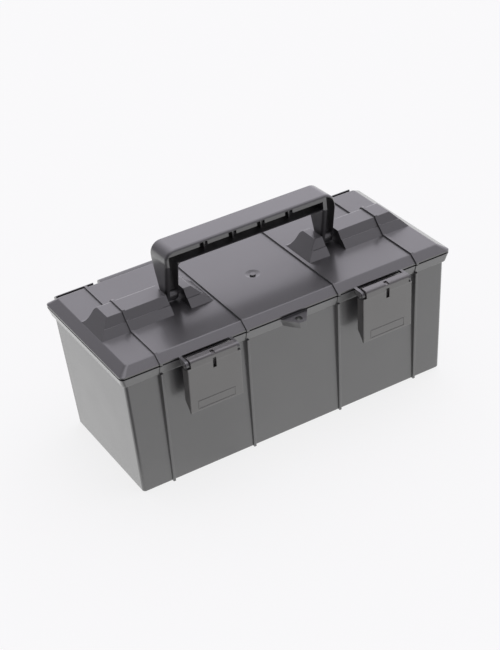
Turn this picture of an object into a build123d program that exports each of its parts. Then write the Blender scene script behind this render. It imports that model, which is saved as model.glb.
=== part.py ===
from build123d import *
import os
from math import acos, atan2, cos, hypot, radians, sin, tan

# Moulded toolbox: tub, hinged lid, folding handle, two front latches and a lift-out tray.
# Millimetres. X runs along the length, +Y to the hinge side, +Z up, origin at the middle of the base.

# Box outline and walls
box_length = 404.0
box_depth = 180.0
corner_radius = 5.0
wall = 2.5

# How much further an inclined wall moves along a level line than straight across itself
slant_allowance = 1.5

# How closely an edge's length has to match a size when the edge is picked by it
edge_tolerance = 0.01

# Tub
rim_top = 152.3
rim_height = 11.3
rim_overhang = 5.0
rim_edge_radius = 2.0
rim_top_radius = 0.3
rim_flare = 3.0
tub_draft = 2.2
tub_corner_radius = 4.0
base_edge_radius = 2.0

# Upright ribs on the tub and the lines that carry on over the lid
rib_inner_x = 56.0
rib_end_inset = 45.0
rib_lean = 0.8
rib_width = 3.0
rib_edge_radius = 0.8
rib_proud_base = 2.0
rib_proud_top = 5.2
rim_rib_proud = 0.8
lid_rib_height = 1.8

# Lid
lid_gap = 1.6
lid_edge_height = 1.5
lid_rise = 8.6
band_inset = 9.2
band_end_inset = 11.2
flat_corner_radius = 3.0
flat_edge_radius = 2.5

# Lid ridges, as a section across the box: places along Y, heights above the lid's flat
ridge_height = 17.2
ridge_front_y = -28.5
ridge_crest_front_y = -13.7
ridge_crest_rear_y = 9.5
ridge_rear_wall_y = 14.2
ridge_rear_y = 22.0
ridge_rear_wall_low = 9.5
ridge_rear_wall_high = 12.8
ridge_step_height = 8.3
ridge_step_depth = 1.2
ridge_inner_x = 60.0
ridge_inner_slope = 1.0
ridge_outer_slope = 0.88
ridge_edge_radius = 1.0
handle_slot_gap = 2.25
handle_slot_wall = 4.0

# Moulding gate mark on the lid
gate_y = -8.0
gate_radius = 8.5
gate_depth = 1.5
gate_nub_radius = 3.2
gate_nub_height = 1.4

# Rear hinge
hinge_back = 0.5
hinge_up = 0.6
hinge_barrel_radius = 5.0
hinge_knuckle_radius = 3.7
hinge_lug_rise = 6.7
hinge_lug_fall = 4.7
hinge_lug_edge = 0.8
hinge_end_inset = 12.5
hinge_knuckle_length = 44.5
hinge_end_gap = 8.0
hinge_knuckle_drop = 10.0
hinge_pin_radius = 1.6
hinge_pin_reach = 30.0
hinge_relief = 0.5
pin_running_gap = 0.05

# Tab with a padlock eye on the tub's front rim
tab_root_half = 19.5
tab_nose_half = 4.2
tab_reach = 18.0
tab_top_drop = 0.4
tab_nose_height = 6.6
tab_root_height = 10.5
tab_root_undercut = 6.5
tab_nose_undercut = 1.0
tab_edge_radius = 1.0
tab_hole_radius = 3.9
tab_hole_reach = 9.5

# Handle
handle_pivot_y = -1.1
handle_pivot_height = 8.0
handle_top_height = 66.0
handle_half_width = 104.75
handle_leg_width = 16.0
handle_grip_height = 17.5
handle_grip_depth = 35.0
handle_eye_radius = 6.8
handle_lean = 2.5
handle_corner_radius = 13.0
handle_inner_radius = 2.0
handle_edge_radius = 3.0
handle_web = 3.0
handle_lip = 6.5
handle_floor = 2.0
handle_leg_wall_left = 4.6
handle_leg_wall_right = 1.8
handle_boss_radius = 6.2
handle_notch_width = 9.5
handle_notch_pitch = 34.7
handle_notch_count = 4
handle_notch_shift = 6.2
handle_notch_skin = 2.5
handle_notch_rib = 1.5
handle_notch_rib_setback = 10.0
handle_pin_radius = 2.0

# Latches
latch_end_inset = 96.0
latch_width = 62.0
latch_axis_out = 12.0
latch_axis_drop = 2.9
latch_front_reach = 6.5
latch_head_rise = 6.5
latch_head_back = 4.8
latch_head_drop = 5.0
latch_head_radius = 3.0
latch_plate = 2.5
latch_drop = 58.5
latch_tilt = 4.0
latch_flange_drop = 46.0
latch_flange_depth = 11.5
latch_ear_width = 3.5
latch_ear_radius = 4.6
latch_ear_gap = 0.5
latch_ear_rim_gap = 0.6
latch_corner_drop = 2.0
latch_pin_radius = 1.5
latch_slot_width = 4.0
latch_slot_height = 12.0
latch_slot_rise = 1.0
latch_slot_depth = 4.2
latch_notch_width = 4.2
latch_notch_depth = 1.4
latch_nib_half = 12.0
latch_nib_thick = 2.5
latch_nib_gap = 0.35
latch_nib_rim_gap = 0.6
latch_edge_radius = 1.0

# Tray
tray_side_gap = 4.4
tray_wall = 2.0
tray_depth = 44.0
tray_corner_radius = 8.0
tray_flange = 2.2
tray_flange_width = 3.0
tray_seat_gap = 0.3
tray_end_gap = 0.8
tray_divider_y = 4.0
tray_cross_pitch = 124.0
tray_cross_count = 2
tray_rear_cross_x = 62.0
tray_divider_drop = 4.0
tray_grip_half = 60.0
tray_grip_rise = 5.0
tray_grip_hole_half = 42.0
tray_grip_hole_height = 22.0
tray_grip_hole_radius = 8.0
tray_grip_bar = 9.0

# Heights and places that follow from the sizes above
half_length = box_length / 2
half_depth = box_depth / 2
rim_low = rim_top - rim_height
ledge_top = rim_low + wall
lid_low = rim_top + lid_gap
lid_top = lid_low + lid_rise
band_low = lid_low + lid_edge_height
hinge_y = half_depth + hinge_back
hinge_z = lid_low + hinge_up
handle_z = lid_top + handle_pivot_height
handle_reach = handle_top_height - handle_pivot_height
rib_outer_x = half_length - rib_end_inset
handle_slot_x = handle_half_width - handle_leg_width / 2
handle_slot_width = handle_leg_width + 2 * handle_slot_gap
hinge_knuckle_end = half_length - hinge_end_inset
hinge_knuckle_start = hinge_knuckle_end - hinge_knuckle_length
hinge_barrel_half = hinge_knuckle_start - hinge_end_gap
hinge_lug_front = half_depth - wall
hinge_lug_room = hypot(hinge_y - hinge_lug_front, hinge_lug_rise) + hinge_relief
latch_x = half_length - latch_end_inset
latch_y = -half_depth - latch_axis_out
latch_z = lid_low - latch_axis_drop
tray_floor = ledge_top + tray_seat_gap - tray_depth
tray_inset = rim_overhang + tan(radians(tub_draft)) * (rim_top - tray_floor) + wall + tray_side_gap
tray_half_length = half_length - tray_inset
tray_half_depth = half_depth - tray_inset
sides = (("left", -1), ("right", 1))


def block(x_low, x_high, y_low, y_high, z_low, z_high):
    """A box between two corners."""
    middle = Pos((x_low + x_high) / 2, (y_low + y_high) / 2, (z_low + z_high) / 2)
    return middle * Box(x_high - x_low, y_high - y_low, z_high - z_low)


def rod(x_low, x_high, y, z, radius):
    """A round bar along X."""
    foot = (Align.CENTER, Align.CENTER, Align.MIN)
    return Pos(x_low, y, z) * Rot(0, 90, 0) * Cylinder(radius, x_high - x_low, align=foot)


def slab_x(points, x_low, x_high):
    """A closed outline of (Y, Z) points, drawn out along X."""
    face = Plane.YZ.offset(x_low) * make_face(Polyline(*points, close=True))
    return extrude(face, amount=x_high - x_low)


def slab_z(points, z_low, z_high):
    """A closed outline of (X, Y) points, drawn out along Z."""
    face = Plane.XY.offset(z_low) * make_face(Polyline(*points, close=True))
    return extrude(face, amount=z_high - z_low)


def plan(length, depth, radius, z):
    """A rounded rectangle in plan at a height."""
    return Plane.XY.offset(z) * RectangleRounded(length, depth, radius)


def draft_inset(z):
    """How far the drafted tub wall stands in from its place at the rim top."""
    return tan(radians(tub_draft)) * (rim_top - z)


def tub_plan(z, inset):
    """The tub wall's outline at a height, moved in by a wall or so."""
    back_off = 2 * (rim_overhang + draft_inset(z) + inset)
    return plan(box_length - back_off, box_depth - back_off, tub_corner_radius - inset, z)


def rim_inset(z):
    """How far the flared rim stands in from the box's outline at a height."""
    return rim_flare * (rim_top - z) / rim_height


def rim_plan(z, inset):
    """The flared rim's outline at a height, moved in by a wall or so."""
    back_off = 2 * (rim_inset(z) + inset)
    return plan(box_length - back_off, box_depth - back_off, corner_radius - inset, z)


def rim_rib(x):
    """The short rib that carries a front rib's line up over the rim."""
    foot = rim_low + rim_edge_radius
    foot_y = -half_depth + rim_inset(foot)
    outline = [(-half_depth - rim_rib_proud, rim_top), (foot_y - rim_rib_proud, foot),
               (foot_y + wall / 2, foot), (-half_depth + wall / 2, rim_top)]
    return slab_x(outline, x - rib_width / 2, x + rib_width / 2)


def tub_rib(x, front):
    """One upright rib, lofted from the base to the rim; front is -1 on the front and 1 on the back."""
    sections = []
    for z, proud in ((0.0, rib_proud_base), (rim_low + wall / 2, rib_proud_top)):
        lean = tan(radians(rib_lean)) * (rim_top - z) * x / rib_outer_x
        face_y = half_depth - rim_overhang - draft_inset(z)
        outline = Rectangle(rib_width, proud + wall / 2)
        sections.append(Pos(x - lean, front * (face_y + proud / 2 - wall / 4), z) * outline)
    rib = loft(sections, ruled=True)
    upright = rib.edges().filter_by(lambda edge: edge.bounding_box().size.Z > rim_low / 2)
    return fillet(upright.sort_by(lambda edge: -front * edge.center().Y)[:2], rib_edge_radius)


def hinge_knuckle(side):
    """A tub lug that holds a hinge pin: upright in front, falling away behind, on a tapered foot."""
    x_low, x_high = sorted((side * hinge_knuckle_start, side * hinge_knuckle_end))
    back = hinge_y + hinge_knuckle_radius
    top = hinge_z + hinge_lug_rise
    outline = [(hinge_lug_front, rim_top - wall), (hinge_lug_front, top), (back, top - hinge_lug_fall)]
    outline.append((back, hinge_z - hinge_knuckle_radius))
    outline.append((half_depth - rim_flare, hinge_z - hinge_knuckle_drop))
    lug = slab_x(outline, x_low, x_high)
    return fillet(lug.edges().filter_by(Axis.X).group_by(Axis.Z)[-1], hinge_lug_edge)


def padlock_tab():
    """The tab on the front rim: a wedge that narrows downward to a short nose, with an upright eye."""
    top = rim_top - tab_top_drop
    low = top - tab_root_height
    root_y = -half_depth + rim_flare + wall / 2
    nose_y = -half_depth - tab_reach
    outlines = []
    for z, root_undercut, nose_undercut in ((low, tab_root_undercut, tab_nose_undercut), (top, 0.0, 0.0)):
        root = tab_root_half - root_undercut
        nose = tab_nose_half - nose_undercut
        points = [(-root, root_y), (-nose, nose_y), (nose, nose_y), (root, root_y)]
        outlines.append(Plane.XY.offset(z) * make_face(Polyline(*points, close=True)))
    side = [(nose_y, top), (nose_y, top - tab_nose_height), (root_y, low), (root_y, top)]
    wedge = loft(outlines, ruled=True) & slab_x(side, -tab_root_half, tab_root_half)
    nose_edges = wedge.edges().group_by(Axis.Y)[0]
    upright = nose_edges.filter_by(lambda edge: edge.bounding_box().size.Z > tab_nose_height / 2)
    wedge = fillet(upright, tab_edge_radius)
    return wedge - Pos(0, -half_depth - tab_hole_reach, low) * Cylinder(tab_hole_radius, 3 * tab_root_height)


def make_tub():
    """The lower box: drafted walls that flare out to a rim, ribs, padlock tab and hinge lugs."""
    shell = loft([tub_plan(0, 0), tub_plan(rim_low + wall / 2, 0)], ruled=True)
    shell = fillet(shell.edges().group_by(Axis.Z)[0], base_edge_radius)
    rim = loft([rim_plan(rim_low, 0), rim_plan(rim_top, 0)], ruled=True)
    rim = fillet(rim.edges().group_by(Axis.Z)[0], rim_edge_radius)
    rim = fillet(rim.edges().group_by(Axis.Z)[-1], rim_top_radius)
    tub = shell + rim
    for x in (-rib_outer_x, -rib_inner_x, rib_inner_x, rib_outer_x):
        for front in (-1, 1):
            tub += tub_rib(x, front)
        tub += rim_rib(x)
    tub += padlock_tab()
    tub -= loft([tub_plan(wall, wall), tub_plan(ledge_top, wall)], ruled=True)
    tub -= loft([rim_plan(ledge_top, wall), rim_plan(rim_top, wall)], ruled=True)
    for name, side in sides:
        tub += hinge_knuckle(side)
        x_low, x_high = sorted((side * hinge_knuckle_start, side * hinge_knuckle_end))
        tub -= rod(x_low, x_high, hinge_y, hinge_z, hinge_pin_radius)
    barrel_room = hinge_barrel_radius + hinge_relief
    tub -= rod(-hinge_knuckle_start, hinge_knuckle_start, hinge_y, hinge_z, barrel_room)
    return tub


def ridge_outline(base):
    """The ridge's section down to a base height: front foot, ledge, crest and curved back."""
    crest = lid_top + ridge_height
    slope = (ridge_crest_front_y - ridge_front_y) / ridge_height
    step_y = ridge_front_y + slope * ridge_step_height
    front = Polyline((ridge_rear_y, base), (ridge_front_y - slope * (lid_top - base), base),
                     (step_y, lid_top + ridge_step_height),
                     (step_y + ridge_step_depth, lid_top + ridge_step_height),
                     (ridge_crest_front_y, crest), (ridge_crest_rear_y, crest))
    wall_high = (ridge_rear_wall_y, lid_top + ridge_rear_wall_high)
    wall_low = (ridge_rear_wall_y, lid_top + ridge_rear_wall_low)
    shoulder = TangentArc(front @ 1, wall_high, tangent=(1, 0))
    drop = Line(wall_high, wall_low)
    foot = TangentArc(wall_low, (ridge_rear_y, lid_top), tangent=(0, -1))
    close = Line((ridge_rear_y, lid_top), (ridge_rear_y, base))
    return make_face(front + shoulder + drop + foot + close)


def ridge(side, inset):
    """One ridge between its two inclined ends, all faces moved in by inset."""
    foot = lid_top - wall
    section = ridge_outline(foot - inset)
    if inset:
        section = offset(section, amount=-inset, kind=Kind.INTERSECTION)
    across = extrude(Plane.YZ * section, amount=half_length, both=True)
    crest = lid_top + ridge_height + wall
    outer_foot = half_length - band_end_inset + wall * ridge_outer_slope - inset * slant_allowance
    outer_crest = outer_foot - (crest - foot) * ridge_outer_slope
    inner_foot = ridge_inner_x - wall * ridge_inner_slope + inset * slant_allowance
    inner_crest = inner_foot + (crest - foot) * ridge_inner_slope
    points = [(side * inner_foot, foot), (side * outer_foot, foot),
              (side * outer_crest, crest), (side * inner_crest, crest)]
    along = extrude(Plane.XZ * make_face(Polyline(*points, close=True)), amount=half_depth, both=True)
    body = across & along
    if inset:
        return body
    raised = body.edges().filter_by(lambda edge: edge.bounding_box().max.Z > lid_top + ridge_step_height)
    return fillet(raised, ridge_edge_radius)


def lid_block(inset):
    """The lid's cover without ridges: a short upright edge, then the sloping band up to the flat."""
    length = box_length - 2 * inset
    depth = box_depth - 2 * inset
    edge = plan(length, depth, corner_radius - inset, lid_low)
    band = plan(length, depth, corner_radius - inset, band_low)
    flat = plan(length - 2 * band_end_inset, depth - 2 * band_inset, flat_corner_radius, lid_top - inset)
    slope = loft([band, flat], ruled=True)
    slope = fillet(slope.edges().group_by(Axis.Z)[-1], flat_edge_radius)
    return extrude(edge, amount=lid_edge_height) + slope


def slot_room(side, extra, low):
    """The room of a handle slot in a ridge above a height, widened by extra on each side."""
    half = handle_slot_width / 2 + extra
    x = side * handle_slot_x
    return block(x - half, x + half, -half_depth, half_depth, low, lid_top + 2 * ridge_height)


def lid_rib(x):
    """A low line over the lid from front to back, following its surface."""
    y_low = half_depth
    flat_y = half_depth - band_inset
    edge = [(-y_low, lid_low), (-y_low, band_low), (-flat_y, lid_top), (flat_y, lid_top)]
    edge += [(y_low, band_low), (y_low, lid_low)]
    section = make_face(Polyline(*edge, close=True))
    if abs(x) > ridge_inner_x:
        section = section + ridge_outline(lid_low)
    section = offset(section, amount=lid_rib_height, kind=Kind.INTERSECTION)
    rib = extrude(Plane.YZ.offset(x) * section, amount=rib_width / 2, both=True)
    crest_room = lid_top + 2 * ridge_height
    return rib & block(x - rib_width, x + rib_width, -box_depth, half_depth, lid_low, crest_room)


def latch_ear(x_low, x_high):
    """A lid ear that holds one end of a latch pin, reaching out and down from the lid's upright edge."""
    eye = Pos(latch_y, latch_z) * Circle(latch_ear_radius)
    edge_y = -half_depth - latch_ear_rim_gap
    inside_y = -half_depth + wall
    arm = make_hull(eye.edges() + Line((edge_y, lid_low), (edge_y, band_low)).edges())
    root = make_face(Polyline((edge_y, lid_low), (inside_y, lid_low), (inside_y, band_low),
                              (edge_y, band_low), close=True))
    return extrude(Plane.YZ.offset(x_low) * (arm + root), amount=x_high - x_low)


def ear_spans(side):
    """The X spans of the two ears of one latch, which lie flush with the latch's sides."""
    x = side * latch_x
    half = latch_width / 2
    return ((x - half, x - half + latch_ear_width), (x + half - latch_ear_width, x + half))


def knuckle_span(side):
    """The X span over one tub lug that the lid leaves free."""
    return sorted((side * hinge_barrel_half, side * (hinge_knuckle_end + hinge_relief)))


def make_lid():
    """The cover with its ridges, lines, handle slots, hinge barrel and latch ears."""
    lid = lid_block(0)
    room = lid_block(wall)
    for name, side in sides:
        lid += ridge(side, 0) - slot_room(side, 0, lid_top)
        room += ridge(side, wall) - slot_room(side, handle_slot_wall, lid_low)
    for name, side in sides:
        x_low, x_high = knuckle_span(side)
        room -= rod(x_low - wall, x_high + wall, hinge_y, hinge_z, hinge_lug_room + wall)
    for x in (-rib_outer_x, -rib_inner_x, rib_inner_x, rib_outer_x):
        lid += lid_rib(x)
    dish_radius = (gate_radius ** 2 + gate_depth ** 2) / (2 * gate_depth)
    lid -= Pos(0, gate_y, lid_top - gate_depth + dish_radius) * Sphere(dish_radius)
    lid -= room
    nub = Cylinder(gate_nub_radius, gate_nub_height, align=(Align.CENTER, Align.CENTER, Align.MIN))
    lid += Pos(0, gate_y, lid_top - gate_depth) * nub
    lid += rod(-hinge_barrel_half, hinge_barrel_half, hinge_y, hinge_z, hinge_barrel_radius)
    for name, side in sides:
        for x_low, x_high in ear_spans(side):
            lid += latch_ear(x_low, x_high)
        lid -= latch_pin(side)
        lid -= handle_pin(side)
        x_low, x_high = knuckle_span(side)
        lid -= rod(x_low, x_high, hinge_y, hinge_z, hinge_lug_room)
        bore_end = hinge_barrel_half - hinge_pin_reach - hinge_relief
        x_low, x_high = sorted((side * bore_end, side * hinge_barrel_half))
        lid -= rod(x_low, x_high, hinge_y, hinge_z, hinge_pin_radius + pin_running_gap)
    return lid


def hinge_pin(side):
    """A hinge pin, pressed into a tub knuckle and running in the lid's barrel."""
    x_low, x_high = sorted((side * (hinge_barrel_half - hinge_pin_reach), side * hinge_knuckle_end))
    return rod(x_low, x_high, hinge_y, hinge_z, hinge_pin_radius)


def handle_pin(side):
    """A handle pin across one slot, held in the slot's walls."""
    half = handle_slot_width / 2 + handle_slot_wall
    x = side * handle_slot_x
    return rod(x - half, x + half, handle_pivot_y, handle_z, handle_pin_radius)


def latch_pin(side):
    """A latch pin from ear to ear."""
    x = side * latch_x
    return rod(x - latch_width / 2, x + latch_width / 2, latch_y, latch_z, latch_pin_radius)


def handle_frame():
    """The handle's outline seen from the front, measured up from the pivot: a U with its feet down."""
    foot = -2 * handle_eye_radius
    gap_top = handle_reach - handle_grip_height
    outer = Pos(0, (foot + handle_reach) / 2) * Rectangle(2 * handle_half_width, handle_reach - foot)
    gap_width = 2 * (handle_half_width - handle_leg_width)
    return outer - Pos(0, (2 * foot + gap_top) / 2) * Rectangle(gap_width, gap_top - 2 * foot)


def handle_side():
    """The handle seen from the end: a round eye, and legs that widen from it up to the grip."""
    half = handle_grip_depth / 2
    low = handle_reach - handle_grip_height
    turn = atan2(low, half) - acos(handle_eye_radius / hypot(low, half))
    foot_y = handle_eye_radius * cos(turn)
    foot_z = handle_eye_radius * sin(turn)
    legs = Polyline((foot_y, foot_z), (half, low), (half, handle_reach),
                    (-half, handle_reach), (-half, low), (-foot_y, foot_z))
    eye = ThreePointArc((-foot_y, foot_z), (0, -handle_eye_radius), (foot_y, foot_z))
    return make_face(legs + eye)


def handle_blank():
    """The handle before its pockets are cut: both outlines crossed, with all outer edges rounded."""
    frame = extrude(Plane.XZ * handle_frame(), amount=handle_grip_depth, both=True)
    blank = frame & extrude(Plane.YZ * handle_side(), amount=handle_half_width, both=True)
    blank = fillet(blank.edges().filter_by(Axis.Y).group_by(Axis.Z)[-1], handle_corner_radius)
    inner = handle_half_width - handle_leg_width / 2
    inside = blank.edges().filter_by(Axis.Y).filter_by(lambda edge: abs(edge.center().X) < inner)
    blank = fillet(inside.group_by(Axis.Z)[0], handle_inner_radius)
    edges = blank.edges()
    corner_lines = edges.filter_by(Axis.Y)
    shortest = handle_leg_width - edge_tolerance
    longest = 2 * handle_leg_width
    leg_creases = edges.filter_by(Axis.X).filter_by(lambda edge: shortest < edge.length < longest)
    return fillet(edges - corner_lines - leg_creases, handle_edge_radius)


def notch_places():
    """Where the notches of the grip's lip lie along X, as counted from the right on the front face."""
    first = -handle_notch_shift - (handle_notch_count - 1) / 2 * handle_notch_pitch
    return [first + index * handle_notch_pitch for index in range(handle_notch_count)]


def face_span(front, low, high):
    """The X span of a stretch that is counted to the right on one face of the handle."""
    return sorted((-front * low, -front * high))


def handle_pockets(front):
    """The cored pockets of the grip and the legs on one face, with the notches in the grip's lip."""
    y_low, y_high = sorted((front * handle_web / 2, front * handle_grip_depth))
    inner = handle_half_width - handle_leg_width
    lip_low = handle_reach - handle_lip
    skin_low = handle_reach - handle_notch_skin
    grip_low = handle_reach - handle_grip_height + handle_floor
    left_start = -handle_half_width + handle_leg_wall_left
    left_leg = (left_start, -inner - handle_leg_wall_right, lip_low)
    right_leg = (inner + handle_leg_wall_left, handle_half_width - handle_leg_wall_right, skin_low)
    cuts = block(*face_span(front, left_start, inner), y_low, y_high, grip_low, lip_low)
    for leg_low, leg_high, top in (left_leg, right_leg):
        x_low, x_high = face_span(front, leg_low, leg_high)
        cuts += block(x_low, x_high, y_low, y_high, 0, top) - rod(x_low, x_high, 0, 0, handle_boss_radius)
    for notch_x in notch_places():
        x_low, x_high = face_span(front, notch_x - handle_notch_width / 2, notch_x + handle_notch_width / 2)
        cuts += block(x_low, x_high, y_low, y_high, grip_low, skin_low)
    room_width = 2 * (handle_half_width - handle_leg_wall_right)
    room = RectangleRounded(room_width, 2 * skin_low, handle_corner_radius - handle_leg_wall_right)
    return cuts & extrude(Plane.XZ * room, amount=handle_grip_depth, both=True)


def handle_ribs(front):
    """The thin ribs beside the notches, which stand back from the face."""
    reach = handle_grip_depth / 2 - handle_notch_rib_setback
    y_low, y_high = sorted((front * handle_web / 2, front * reach))
    grip_low = handle_reach - handle_grip_height + handle_floor / 2
    ribs = []
    for notch_x in notch_places():
        x = notch_x + handle_notch_width / 2
        x_low, x_high = face_span(front, x, x + handle_notch_rib)
        ribs.append(block(x_low, x_high, y_low, y_high, grip_low, handle_reach - handle_lip / 2))
    return ribs


def make_handle():
    """The carry handle, shaped upright about its pivot and then leaned back as it stands."""
    handle = handle_blank()
    for front in (-1, 1):
        handle -= handle_pockets(front)
        for rib in handle_ribs(front):
            handle += rib
    for name, side in sides:
        x = side * (handle_half_width - handle_leg_width / 2)
        half = handle_leg_width
        handle -= rod(x - half, x + half, 0, 0, handle_pin_radius + pin_running_gap)
    return Pos(0, handle_pivot_y, handle_z) * Rot(-handle_lean, 0, 0) * handle


def latch_front_y(drop):
    """The latch plate's front face at a drop below the pin."""
    return latch_y - latch_front_reach + tan(radians(latch_tilt)) * drop


def latch_plate_solid(x_low, x_high):
    """The tilted front plate, with its front edges rounded."""
    low = latch_z - latch_drop
    thick = latch_plate / cos(radians(latch_tilt))
    outline = [(latch_front_y(0), latch_z), (latch_front_y(latch_drop), low),
               (latch_front_y(latch_drop) + thick, low), (latch_front_y(0) + thick, latch_z)]
    plate = slab_x(outline, x_low, x_high)
    front = min(plate.faces(), key=lambda face: face.normal_at().Y)
    round_edges = front.edges().filter_by(lambda edge: edge.center().Z < latch_z - latch_edge_radius)
    return fillet(round_edges, latch_edge_radius)


def latch_head(x_low, x_high):
    """The thick top of a latch, which turns on the pin: a block with rounded edges."""
    depth = latch_front_reach + latch_head_back
    height = latch_head_rise + latch_head_drop
    section = RectangleRounded(depth, height, latch_head_radius)
    middle = Pos(latch_y + latch_head_back - depth / 2, latch_z + latch_head_rise - height / 2)
    return extrude(Plane.YZ.offset(x_low) * middle * section, amount=x_high - x_low)


def make_latch(side):
    """A latch: a tilted plate on a thick head, with side flanges, a nib and room for the ears."""
    x = side * latch_x
    half = latch_width / 2
    mid_plate = latch_plate / 2
    flange = [(latch_front_y(0) + mid_plate, latch_z),
              (latch_front_y(latch_drop) + mid_plate, latch_z - latch_drop),
              (latch_front_y(latch_flange_drop) + latch_flange_depth, latch_z - latch_flange_drop),
              (latch_front_y(0) + latch_flange_depth, latch_z)]
    latch = latch_plate_solid(x - half, x + half) + latch_head(x - half, x + half)
    for x_low, x_high in ((x - half, x - half + latch_plate), (x + half - latch_plate, x + half)):
        latch += slab_x(flange, x_low, x_high)
    nib_top = rim_low - latch_nib_rim_gap
    latch += block(x - latch_nib_half, x + latch_nib_half, latch_front_y(latch_z - nib_top) + mid_plate,
                   -half_depth - latch_nib_gap, nib_top - latch_nib_thick, nib_top)
    for x_low, x_high in ear_spans(side):
        ear_low = x_low - latch_ear_gap
        ear_high = x_high + latch_ear_gap
        latch -= rod(ear_low, ear_high, latch_y, latch_z, latch_ear_radius + latch_ear_gap)
        latch -= block(ear_low, ear_high, latch_y - 2 * latch_front_reach, -half_depth,
                       latch_z - latch_corner_drop, latch_z + 2 * latch_head_rise)
        latch -= block(ear_low, ear_high, latch_y, -half_depth,
                       latch_z - latch_ear_radius - latch_ear_gap, latch_z)
    latch -= rod(x - half, x + half, latch_y, latch_z, latch_pin_radius + pin_running_gap)
    slot_top = latch_z + latch_slot_rise
    front_y = latch_y - 2 * latch_front_reach
    slot_floor = latch_front_y(0) + latch_slot_depth
    latch -= block(x - latch_slot_width / 2, x + latch_slot_width / 2, front_y, slot_floor,
                   slot_top - latch_slot_height, slot_top)
    latch -= block(x - latch_notch_width / 2, x + latch_notch_width / 2, front_y, latch_y,
                   latch_z + latch_head_rise - latch_notch_depth, latch_z + 2 * latch_head_rise)
    return latch


def tray_divider(x_low, x_high, y_low, y_high):
    """An upright divider from the tray's floor to a little below its flange."""
    return block(x_low, x_high, y_low, y_high, tray_floor, ledge_top + tray_seat_gap - tray_divider_drop)


def make_tray():
    """The lift-out tray: it hangs by its flange on the tub's ledge and has a grip on its long divider."""
    seat = ledge_top + tray_seat_gap
    outer = plan(2 * tray_half_length, 2 * tray_half_depth, tray_corner_radius, tray_floor)
    flange_half = half_length - wall - rim_inset(ledge_top) - tray_end_gap
    flange_depth = 2 * (tray_half_depth + tray_flange_width)
    flange = plan(2 * flange_half, flange_depth, tray_corner_radius + tray_flange_width, seat)
    tray = extrude(outer, amount=tray_depth) + extrude(flange, amount=tray_flange)
    room = plan(2 * (tray_half_length - tray_wall), 2 * (tray_half_depth - tray_wall),
                tray_corner_radius - tray_wall, tray_floor + tray_wall)
    tray -= extrude(room, amount=tray_depth + tray_flange)
    divider_low = tray_divider_y - tray_wall / 2
    divider_high = tray_divider_y + tray_wall / 2
    tray += tray_divider(-tray_half_length, tray_half_length, divider_low, divider_high)
    for index in range(tray_cross_count):
        x = (index - (tray_cross_count - 1) / 2) * tray_cross_pitch
        tray += tray_divider(x - tray_wall / 2, x + tray_wall / 2, -tray_half_depth, tray_divider_y)
    tray += tray_divider(tray_rear_cross_x - tray_wall / 2, tray_rear_cross_x + tray_wall / 2,
                         tray_divider_y, tray_half_depth)
    grip_top = seat + tray_flange + tray_grip_rise
    tray += block(-tray_grip_half, tray_grip_half, tray_divider_y - tray_wall, tray_divider_y + tray_wall,
                  tray_floor + tray_wall / 2, grip_top)
    hole_middle = grip_top - tray_grip_bar - tray_grip_hole_height / 2
    hole = RectangleRounded(2 * tray_grip_hole_half, tray_grip_hole_height, tray_grip_hole_radius)
    hole_face = Plane.XZ.offset(-tray_divider_y) * Pos(0, hole_middle) * hole
    tray -= extrude(hole_face, amount=4 * tray_wall, both=True)
    return tray


pieces = {"tub": make_tub(), "lid": make_lid(), "handle": make_handle(), "tray": make_tray()}
for name, side in sides:
    pieces["hinge_pin_" + name] = hinge_pin(side)
    pieces["handle_pin_" + name] = handle_pin(side)
    pieces["latch_" + name] = make_latch(side)
    pieces["latch_pin_" + name] = latch_pin(side)

os.makedirs("parts", exist_ok=True)
for name, piece in pieces.items():
    export_step(piece, os.path.join("parts", name + ".step"))
    print(name, round(piece.volume), len(piece.solids()))
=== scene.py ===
import logging
import math
from dataclasses import dataclass
from enum import Enum
from typing import Any, Callable

import bpy
from mathutils import Matrix, Vector


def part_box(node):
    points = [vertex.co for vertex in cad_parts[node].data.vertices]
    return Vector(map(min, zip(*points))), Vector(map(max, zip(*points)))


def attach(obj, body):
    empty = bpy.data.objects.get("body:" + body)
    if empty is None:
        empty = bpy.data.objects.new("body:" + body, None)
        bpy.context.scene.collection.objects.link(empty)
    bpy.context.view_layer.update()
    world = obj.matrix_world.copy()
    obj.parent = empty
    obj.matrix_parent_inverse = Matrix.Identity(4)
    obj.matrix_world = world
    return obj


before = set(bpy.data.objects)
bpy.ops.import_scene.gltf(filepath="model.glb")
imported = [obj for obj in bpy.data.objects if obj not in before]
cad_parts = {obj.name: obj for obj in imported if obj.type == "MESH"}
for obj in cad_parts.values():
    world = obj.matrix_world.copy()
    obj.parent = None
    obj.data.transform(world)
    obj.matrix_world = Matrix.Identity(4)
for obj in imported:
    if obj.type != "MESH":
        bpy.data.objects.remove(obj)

LOG = logging.getLogger("toolbox")
MM = 0.001

# Socket numbers of the Mix node, whose sockets share their names
MIX_VALUES = (2, 3)
MIX_COLOURS = (6, 7)
MIX_VALUE_OUT = 0
MIX_COLOUR_OUT = 2


class Body(Enum):
    """The moving bodies that new pieces ride on."""

    LID = "lid"
    LATCH_LEFT = "latch_left"
    LATCH_RIGHT = "latch_right"


class Slot(Enum):
    """The material slots of the record."""

    BODY = "body_plastic"
    HANDLE = "handle_plastic"
    LATCH = "latch_plastic"
    TRAY = "tray_plastic"
    PIN = "pin_steel"


def linear(code: str) -> tuple[float, float, float, float]:
    """Turn an sRGB hex code into a linear colour.

    Args:
        code: six hex digits with a leading hash.

    Returns:
        Linear red, green, blue and an alpha of one.
    """
    parts = [int(code[i:i + 2], 16) / 255 for i in (1, 3, 5)]
    low = [c / 12.92 if c <= 0.04045 else ((c + 0.055) / 1.055) ** 2.4 for c in parts]
    return (low[0], low[1], low[2], 1.0)


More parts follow.
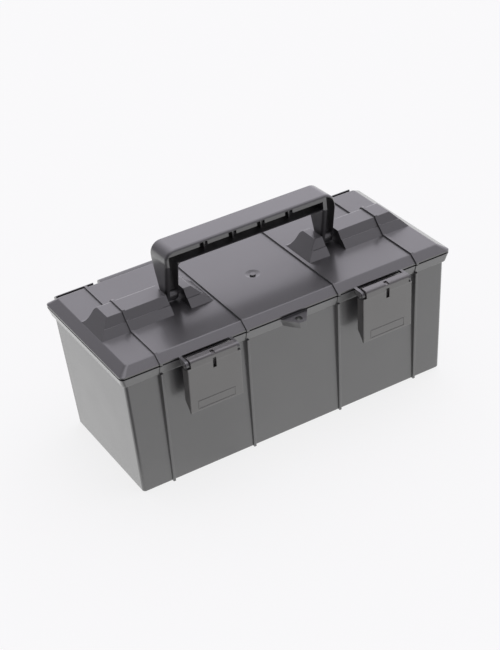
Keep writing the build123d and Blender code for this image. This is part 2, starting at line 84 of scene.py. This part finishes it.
def add_node(tree: bpy.types.NodeTree, kind: str, settings: dict[str, Any] | None = None,
             inputs: dict[str | int, Any] | None = None) -> bpy.types.Node:
    """Add one node with its settings, values and links.

    Args:
        tree: the node tree that takes the node.
        kind: the node's type name.
        settings: properties of the node itself.
        inputs: a value or an output socket for each named or numbered input.

    Returns:
        The new node.
    """
    node = tree.nodes.new(kind)
    for name, value in (settings or {}).items():
        setattr(node, name, value)
    for name, value in (inputs or {}).items():
        if isinstance(value, bpy.types.NodeSocket):
            tree.links.new(value, node.inputs[name])
        else:
            node.inputs[name].default_value = value
    return node


def new_material(name: str) -> tuple[bpy.types.Material, bpy.types.NodeTree]:
    """Make an empty node material.

    Args:
        name: the material's name.

    Returns:
        The material and its cleared node tree.
    """
    material = bpy.data.materials.new(name)
    material.use_nodes = True
    material.node_tree.nodes.clear()
    return material, material.node_tree


@dataclass(frozen=True)
class MouldedPolypropylene:
    """Injection-moulded polypropylene, almost black, with a satin skin.

    The plastic's own colour shows only in the pockets. Everywhere else its smooth skin mirrors the white
    surroundings softly, so a face looks lighter the flatter it is seen. The melt's flow leaves faint
    clouds in tone and gloss, shrinkage leaves long shallow waves, and the mould leaves a fine spark grain.
    """

    name: str
    colour: str
    cloud_colour: str
    roughness: float = 0.44
    gloss_change: float = 0.03
    ior: float = 1.62
    specular: float = 0.85
    skin: float = 1.0
    skin_roughness: float = 0.2
    grain_mm: float = 0.9
    grain_depth_mm: float = 0.012
    grain_detail: float = 2.0
    flow_mm: float = 60.0
    flow_detail: float = 3.0
    flow_roughness: float = 0.55
    flow_span: tuple[float, float] = (0.3, 0.7)
    wave_mm: float = 70.0
    wave_depth_mm: float = 0.06
    wave_detail: float = 1.0

    def build(self) -> bpy.types.Material:
        """Build the node material.

        Returns:
            The material.
        """
        material, tree = new_material(self.name)
        place = add_node(tree, "ShaderNodeTexCoord").outputs["Object"]
        # Clouds of melt flow, drawn a little stronger than real so that they show
        flow = add_node(tree, "ShaderNodeTexNoise", {},
                        {"Vector": place, "Scale": 1.0 / (self.flow_mm * MM), "Detail": self.flow_detail,
                         "Roughness": self.flow_roughness})
        colour = add_node(tree, "ShaderNodeMix", {"data_type": "RGBA"},
                          {"Factor": flow.outputs["Fac"], MIX_COLOURS[0]: linear(self.colour),
                           MIX_COLOURS[1]: linear(self.cloud_colour)})
        gloss = add_node(tree, "ShaderNodeMapRange", {},
                         {"Value": flow.outputs["Fac"], "From Min": self.flow_span[0],
                          "From Max": self.flow_span[1], "To Min": self.roughness - self.gloss_change,
                          "To Max": self.roughness + self.gloss_change})
        # Shallow waves of shrinkage, and on them the mould's spark grain, drawn coarser than real to show
        wave = add_node(tree, "ShaderNodeTexNoise", {},
                        {"Vector": place, "Scale": 1.0 / (self.wave_mm * MM), "Detail": self.wave_detail})
        waves = add_node(tree, "ShaderNodeBump", {},
                         {"Strength": 1.0, "Distance": self.wave_depth_mm * MM,
                          "Height": wave.outputs["Fac"]})
        grain = add_node(tree, "ShaderNodeTexNoise", {},
                         {"Vector": place, "Scale": 1.0 / (self.grain_mm * MM),
                          "Detail": self.grain_detail})
        bump = add_node(tree, "ShaderNodeBump", {},
                        {"Strength": 1.0, "Distance": self.grain_depth_mm * MM,
                         "Height": grain.outputs["Fac"], "Normal": waves.outputs["Normal"]})
        shader = add_node(tree, "ShaderNodeBsdfPrincipled", {},
                          {"Base Color": colour.outputs[MIX_COLOUR_OUT],
                           "Roughness": gloss.outputs["Result"], "IOR": self.ior,
                           "Specular IOR Level": self.specular, "Normal": bump.outputs["Normal"],
                           "Coat Weight": self.skin, "Coat Roughness": self.skin_roughness,
                           "Coat IOR": self.ior, "Coat Normal": waves.outputs["Normal"]})
        add_node(tree, "ShaderNodeOutputMaterial", {}, {"Surface": shader.outputs["BSDF"]})
        return material


@dataclass(frozen=True)
class DrawnSteel:
    """Drawn steel wire, with fine die lines along its length."""

    name: str
    colour: str = "#b9b9ba"
    line_mm: float = 0.25
    line_stretch: float = 50.0
    line_detail: float = 2.0
    smooth: float = 0.24
    rough: float = 0.42

    def build(self) -> bpy.types.Material:
        """Build the node material.

        Returns:
            The material.
        """
        material, tree = new_material(self.name)
        place = add_node(tree, "ShaderNodeTexCoord").outputs["Object"]
        # Die lines, drawn coarser than real so that they show
        drawn = add_node(tree, "ShaderNodeMapping", {},
                         {"Vector": place, "Scale": (1.0 / self.line_stretch, 1.0, 1.0)})
        lines = add_node(tree, "ShaderNodeTexNoise", {},
                         {"Vector": drawn.outputs["Vector"], "Scale": 1.0 / (self.line_mm * MM),
                          "Detail": self.line_detail})
        gloss = add_node(tree, "ShaderNodeMapRange", {},
                         {"Value": lines.outputs["Fac"], "To Min": self.smooth, "To Max": self.rough})
        shader = add_node(tree, "ShaderNodeBsdfPrincipled", {},
                          {"Base Color": linear(self.colour), "Metallic": 1.0,
                           "Roughness": gloss.outputs["Result"]})
        add_node(tree, "ShaderNodeOutputMaterial", {}, {"Surface": shader.outputs["BSDF"]})
        return material


def pick_faces(piece: bpy.types.Object, test: Callable[[bpy.types.MeshPolygon], bool]) -> None:
    """Select the faces of a piece that pass a test, and go to edit mode with them.

    Args:
        piece: the mesh object.
        test: says for each face whether it is wanted.
    """
    bpy.ops.object.mode_set(mode="EDIT")
    bpy.ops.mesh.select_mode(type="FACE")
    bpy.ops.mesh.select_all(action="DESELECT")
    bpy.ops.object.mode_set(mode="OBJECT")
    for face in piece.data.polygons:
        face.select = test(face)
    bpy.ops.object.mode_set(mode="EDIT")


def settle(piece: bpy.types.Object, place: Matrix) -> None:
    """Put a finished piece's place into its mesh, so that its object sits at the origin.

    Args:
        piece: the mesh object.
        place: where the piece goes.
    """
    bpy.ops.object.mode_set(mode="OBJECT")
    bpy.ops.object.transform_apply(location=True, rotation=True, scale=True)
    piece.data.transform(place)


def register(piece: bpy.types.Object, name: str, finish: bpy.types.Material,
             body: Body) -> None:
    """Name a piece, dress it and let it ride on a body.

    Args:
        piece: the mesh object.
        name: its name.
        finish: its material.
        body: the body that carries it.
    """
    piece.name = name
    piece.data.name = name
    piece.data.materials.clear()
    piece.data.materials.append(finish)
    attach(piece, body.value)
    LOG.info("made %s", name)


def copy_piece(piece: bpy.types.Object, move: Matrix) -> bpy.types.Object:
    """Copy a piece with a mesh of its own.

    Args:
        piece: the mesh object.
        move: how the copy is moved.

    Returns:
        The copy.
    """
    twin = piece.copy()
    twin.data = piece.data.copy()
    twin.data.transform(move)
    bpy.context.scene.collection.objects.link(twin)
    return twin


@dataclass
class Toolbox:
    """The moulded box with its lid, handle, latches, tray and pins."""

    finishes: dict[Slot, bpy.types.Material]

    def dress(self) -> None:
        """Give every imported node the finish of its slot."""
        for name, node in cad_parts.items():
            for place in node.material_slots:
                slot = Slot(place.material.name.split(".")[0])
                place.material = self.finishes[slot]
            LOG.info("dressed %s", name)


@dataclass
class LatchTrim:
    """The bare name panel's raised frame on each latch plate, and the domed ends of the latch pins."""

    finishes: dict[Slot, bpy.types.Material]
    panel_length_mm: float = 44.0
    panel_height_mm: float = 10.5
    panel_drop_mm: float = 50.8
    line_mm: float = 0.9
    rise_mm: float = 0.35
    sink_mm: float = 0.15
    edge_mm: float = 0.12
    edge_steps: int = 2
    tilt_degrees: float = 4.0
    head_radius_mm: float = 2.5
    head_rise_mm: float = 1.1
    head_sides: int = 32
    head_round_share: float = 0.75
    head_round_steps: int = 5
    head_smooth_degrees: float = 40.0

    def panel_frame(self) -> bpy.types.Object:
        """Model the frame flat in the XY plane, with its face up.

        Returns:
            The frame, with its middle at the origin.
        """
        bpy.ops.object.select_all(action="DESELECT")
        bpy.ops.mesh.primitive_plane_add(size=1.0)
        panel = bpy.context.object
        panel.scale = (self.panel_length_mm * MM, self.panel_height_mm * MM, 1.0)
        bpy.ops.object.transform_apply(location=True, rotation=True, scale=True)
        bpy.ops.object.mode_set(mode="EDIT")
        bpy.ops.mesh.select_all(action="SELECT")
        bpy.ops.mesh.inset(thickness=self.line_mm * MM)
        bpy.ops.mesh.delete(type="FACE")
        bpy.ops.mesh.select_all(action="SELECT")
        bpy.ops.mesh.extrude_region_move(
            TRANSFORM_OT_translate={"value": (0.0, 0.0, (self.rise_mm + self.sink_mm) * MM)})
        bpy.ops.mesh.select_all(action="SELECT")
        bpy.ops.mesh.normals_make_consistent(inside=False)
        bpy.ops.object.mode_set(mode="OBJECT")
        top = max(face.center.z for face in panel.data.polygons)
        pick_faces(panel, lambda face: face.center.z > top - self.edge_mm * MM)
        bpy.ops.mesh.bevel(offset=self.edge_mm * MM, segments=self.edge_steps, affect="EDGES")
        settle(panel, Matrix.Translation((0.0, 0.0, -self.sink_mm * MM)))
        return panel

    def pin_head(self) -> bpy.types.Object:
        """Model one domed pin end that faces +X, with its flat at the origin.

        Returns:
            The pin end.
        """
        bpy.ops.object.select_all(action="DESELECT")
        bpy.ops.mesh.primitive_cylinder_add(vertices=self.head_sides, radius=self.head_radius_mm * MM,
                                            depth=self.head_rise_mm * MM,
                                            location=(0.0, 0.0, self.head_rise_mm * MM / 2))
        head = bpy.context.object
        bpy.ops.object.transform_apply(location=True, rotation=True, scale=True)
        top = max(face.center.z for face in head.data.polygons)
        pick_faces(head, lambda face: face.center.z == top)
        bpy.ops.mesh.bevel(offset=self.head_rise_mm * MM * self.head_round_share,
                           segments=self.head_round_steps, affect="EDGES")
        settle(head, Matrix.Rotation(math.pi / 2, 4, "Y"))
        pick_faces(head, lambda face: True)
        bpy.ops.mesh.normals_make_consistent(inside=False)
        bpy.ops.object.mode_set(mode="OBJECT")
        bpy.ops.object.shade_smooth_by_angle(angle=math.radians(self.head_smooth_degrees))
        return head

    def build(self) -> None:
        """Set the frames on the latch plates and the domed ends on the latch pins."""
        panel = self.panel_frame()
        head = self.pin_head()
        upright = Matrix.Rotation(math.radians(90.0 + self.tilt_degrees), 4, "X")
        half_turn = Matrix.Rotation(math.pi, 4, "Z")
        for side, body in (("left", Body.LATCH_LEFT), ("right", Body.LATCH_RIGHT)):
            pin_low, pin_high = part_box("latch_pin_" + side)
            pin = (pin_low + pin_high) / 2
            drop = self.panel_drop_mm * MM
            face_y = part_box("latch_" + side)[0].y + math.tan(math.radians(self.tilt_degrees)) * drop
            place = Matrix.Translation((pin.x, face_y, pin.z - drop)) @ upright
            name = "name_panel_frame_" + side
            register(copy_piece(panel, place), name, self.finishes[Slot.LATCH], body)
            right_end = Matrix.Translation((pin_high.x, pin.y, pin.z))
            left_end = Matrix.Translation((pin_low.x, pin.y, pin.z)) @ half_turn
            for end, move in (("a", left_end), ("b", right_end)):
                name = "latch_pin_end_" + side + "_" + end
                register(copy_piece(head, move), name, self.finishes[Slot.LATCH], Body.LID)
        bpy.data.objects.remove(panel)
        bpy.data.objects.remove(head)


@dataclass
class Studio:
    """The camera, the white floor and the soft white light."""

    # Camera, fitted to the photograph
    target_mm: tuple[float, float, float] = (-3.6, 2.6, 92.8)
    azimuth: float = -27.83
    elevation: float = 32.61
    roll: float = -5.6
    distance_mm: float = 1707.9
    focal_px: float = 1549.2
    picture_px: tuple[int, int] = (500, 650)
    sensor_mm: float = 36.0
    clip_end_mm: float = 100000.0
    # Floor: how much of its plain white the camera sees, and where its mirrored white carries painted shade
    floor_mm: float = 12000.0
    floor_drop_mm: float = 0.5
    floor_colour: str = "#fafafa"
    floor_glow: float = 0.8
    painted_shade_share: float = 0.35
    corner_left_mm: tuple[float, float] = (-237.0, -197.0)
    corner_front_mm: tuple[float, float] = (-105.0, -80.0)
    # Room: the light's level, and the spans of direction over which it changes
    room_colour: str = "#f9f5ff"
    room_strength: float = 1.2
    horizon_colour: str = "#f9f9fa"
    left_share: float = 0.3
    left_span: tuple[float, float] = (-0.55, 0.15)
    front_share: float = 0.4
    front_span: tuple[float, float] = (-0.75, 0.0)
    overhead_gain: float = 1.8
    overhead_span: tuple[float, float] = (0.88, 0.98)

    def camera(self) -> None:
        """Set the camera where the photograph was taken from."""
        turn, rise, roll = (math.radians(a) for a in (self.azimuth, self.elevation, self.roll))
        back = Vector((math.sin(turn) * math.cos(rise), -math.cos(turn) * math.cos(rise), math.sin(rise)))
        right = Vector((0.0, 0.0, 1.0)).cross(back).normalized()
        up = back.cross(right)
        side = math.cos(roll) * right + math.sin(roll) * up
        top = math.cos(roll) * up - math.sin(roll) * right
        data = bpy.data.cameras.new("camera")
        data.sensor_width = self.sensor_mm
        data.lens = self.focal_px * self.sensor_mm / max(self.picture_px)
        data.clip_end = self.clip_end_mm * MM
        camera = bpy.data.objects.new("camera", data)
        place = (Vector(self.target_mm) + back * self.distance_mm) * MM
        camera.matrix_world = Matrix.Translation(place) @ Matrix((side, top, back)).transposed().to_4x4()
        bpy.context.scene.collection.objects.link(camera)
        bpy.context.scene.camera = camera

    def floor_finish(self) -> bpy.types.Material:
        """Build the floor's matt white paper.

        The camera sees most of it as plain white, with the box's soft shadow in the rest. In the plastic
         it mirrors as white, with painted shade at the left front: its glow there is turned down, standing
         in for the studio's light not reaching it.

        Returns:
            The material.
        """
        material, tree = new_material("white_paper_floor")
        path = add_node(tree, "ShaderNodeLightPath")
        matt = add_node(tree, "ShaderNodeBsdfDiffuse", {}, {"Color": linear(self.floor_colour)})
        place = add_node(tree, "ShaderNodeTexCoord").outputs["Object"]
        parts = add_node(tree, "ShaderNodeSeparateXYZ", {}, {"Vector": place})
        left = add_node(tree, "ShaderNodeMapRange", {},
                        {"Value": parts.outputs["X"], "From Min": self.corner_left_mm[0] * MM,
                         "From Max": self.corner_left_mm[1] * MM, "To Min": 1.0, "To Max": 0.0})
        front = add_node(tree, "ShaderNodeMapRange", {},
                         {"Value": parts.outputs["Y"], "From Min": self.corner_front_mm[0] * MM,
                          "From Max": self.corner_front_mm[1] * MM, "To Min": 1.0, "To Max": 0.0})
        corner = add_node(tree, "ShaderNodeMath", {"operation": "MULTIPLY"},
                          {0: left.outputs["Result"], 1: front.outputs["Result"]})
        # Painted shade: the floor's mirrored glow is turned down over the left front quadrant
        level = add_node(tree, "ShaderNodeMapRange", {},
                         {"Value": corner.outputs["Value"], "To Min": 1.0, "To Max": self.painted_shade_share})
        strength = add_node(tree, "ShaderNodeMath", {"operation": "MAXIMUM"},
                            {0: level.outputs["Result"], 1: path.outputs["Is Camera Ray"]})
        white = add_node(tree, "ShaderNodeEmission", {}, {"Strength": strength.outputs["Value"]})
        mirrored = add_node(tree, "ShaderNodeMath", {"operation": "MAXIMUM"},
                            {0: path.outputs["Is Glossy Ray"], 1: path.outputs["Is Transmission Ray"]})
        glow = add_node(tree, "ShaderNodeMath", {"operation": "MULTIPLY"},
                        {0: path.outputs["Is Camera Ray"], 1: self.floor_glow})
        share = add_node(tree, "ShaderNodeMath", {"operation": "MAXIMUM"},
                         {0: mirrored.outputs["Value"], 1: glow.outputs["Value"]})
        mix = add_node(tree, "ShaderNodeMixShader", {},
                       {"Fac": share.outputs["Value"], 1: matt.outputs["BSDF"],
                        2: white.outputs["Emission"]})
        add_node(tree, "ShaderNodeOutputMaterial", {}, {"Surface": mix.outputs["Shader"]})
        return material

    def floor(self) -> None:
        """Lay the white floor just under the box."""
        bpy.ops.object.select_all(action="DESELECT")
        bpy.ops.mesh.primitive_plane_add(size=self.floor_mm * MM,
                                         location=(0.0, 0.0, -self.floor_drop_mm * MM))
        floor = bpy.context.object
        floor.name = "studio_floor"
        floor.data.materials.append(self.floor_finish())

    def room(self) -> None:
        """Fill the room with soft white light: strongest overhead, dimmer to the left and the front.

        The camera itself sees the far floor's white, so that views from the side show no edge of the floor.
        """
        world = bpy.data.worlds.new("white_room")
        bpy.context.scene.world = world
        world.use_nodes = True
        tree = world.node_tree
        tree.nodes.clear()
        towards = add_node(tree, "ShaderNodeTexCoord").outputs["Generated"]
        parts = add_node(tree, "ShaderNodeSeparateXYZ", {}, {"Vector": towards})
        across = add_node(tree, "ShaderNodeMapRange", {},
                          {"Value": parts.outputs["X"], "From Min": self.left_span[0],
                           "From Max": self.left_span[1], "To Min": self.room_strength * self.left_share,
                           "To Max": self.room_strength})
        along = add_node(tree, "ShaderNodeMapRange", {},
                         {"Value": parts.outputs["Y"], "From Min": self.front_span[0],
                          "From Max": self.front_span[1], "To Min": self.front_share, "To Max": 1.0})
        above = add_node(tree, "ShaderNodeMapRange", {},
                         {"Value": parts.outputs["Z"], "From Min": self.overhead_span[0],
                          "From Max": self.overhead_span[1], "To Min": 1.0, "To Max": self.overhead_gain})
        sides = add_node(tree, "ShaderNodeMath", {"operation": "MULTIPLY"},
                         {0: across.outputs["Result"], 1: along.outputs["Result"]})
        level = add_node(tree, "ShaderNodeMath", {"operation": "MULTIPLY"},
                         {0: sides.outputs["Value"], 1: above.outputs["Result"]})
        path = add_node(tree, "ShaderNodeLightPath")
        seen = path.outputs["Is Camera Ray"]
        colour = add_node(tree, "ShaderNodeMix", {"data_type": "RGBA"},
                          {"Factor": seen, MIX_COLOURS[0]: linear(self.room_colour),
                           MIX_COLOURS[1]: linear(self.horizon_colour)})
        strength = add_node(tree, "ShaderNodeMix", {"data_type": "FLOAT"},
                            {"Factor": seen, MIX_VALUES[0]: level.outputs["Value"], MIX_VALUES[1]: 1.0})
        shader = add_node(tree, "ShaderNodeBackground", {},
                          {"Color": colour.outputs[MIX_COLOUR_OUT],
                           "Strength": strength.outputs[MIX_VALUE_OUT]})
        add_node(tree, "ShaderNodeOutputWorld", {}, {"Surface": shader.outputs["Background"]})

    def build(self) -> None:
        """Set up the camera, the floor and the light."""
        self.camera()
        self.floor()
        self.room()
        bpy.context.scene.view_settings.view_transform = "Standard"


def main() -> None:
    """Build the scene in order: finishes, box, latch trim, studio."""
    logging.basicConfig(level=logging.INFO, format="%(name)s: %(message)s")
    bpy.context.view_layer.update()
    finishes = {
        Slot.BODY: MouldedPolypropylene("satin_grey_polypropylene", "#282728", "#2e2d2e").build(),
        Slot.HANDLE: MouldedPolypropylene("handle_grey_polypropylene", "#232223", "#292829").build(),
        Slot.LATCH: MouldedPolypropylene("latch_grey_polypropylene", "#383532", "#3e3b38").build(),
        Slot.TRAY: MouldedPolypropylene("tray_grey_polypropylene", "#2b2a2b", "#313031").build(),
        Slot.PIN: DrawnSteel("drawn_steel_wire").build(),
    }
    Toolbox(finishes).dress()
    LatchTrim(finishes).build()
    Studio().build()


if __name__ == "__main__":
    main()
